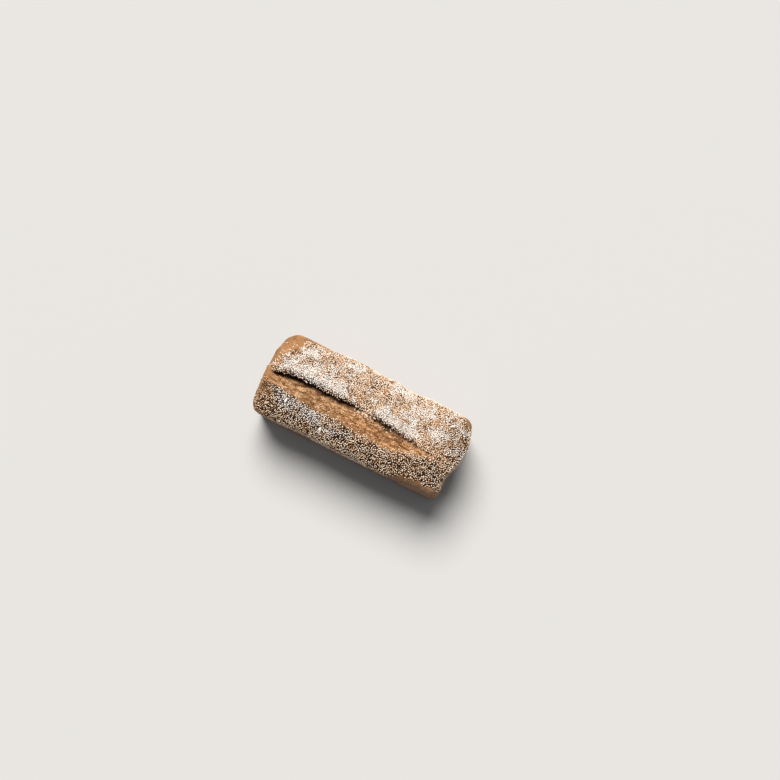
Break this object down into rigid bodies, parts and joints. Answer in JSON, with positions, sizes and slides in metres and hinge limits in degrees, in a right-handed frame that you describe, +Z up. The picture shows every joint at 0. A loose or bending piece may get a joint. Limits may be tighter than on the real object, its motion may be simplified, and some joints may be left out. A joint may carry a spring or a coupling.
{
  "type": "seeded whole wheat loaf",
  "caption": "Uncut rectangular tin loaf of whole wheat bread with a domed seeded top, a long open slash along it, plain tin-baked sides and a flat base.",
  "frame": {"origin": "on the plane of the flat base, under the middle of the loaf's box", "axes": "+X along the loaf, +Y across it towards the slash's raised lip, +Z up"},
  "size_m": [0.253, 0.1066, 0.0856],
  "materials": {
    "crust": "matte baked whole wheat crust, brown, with pale toasted seeds and flour on top"
  },
  "bodies": {
    "root": {"loaf": "crust"}
  },
  "joints": []
}
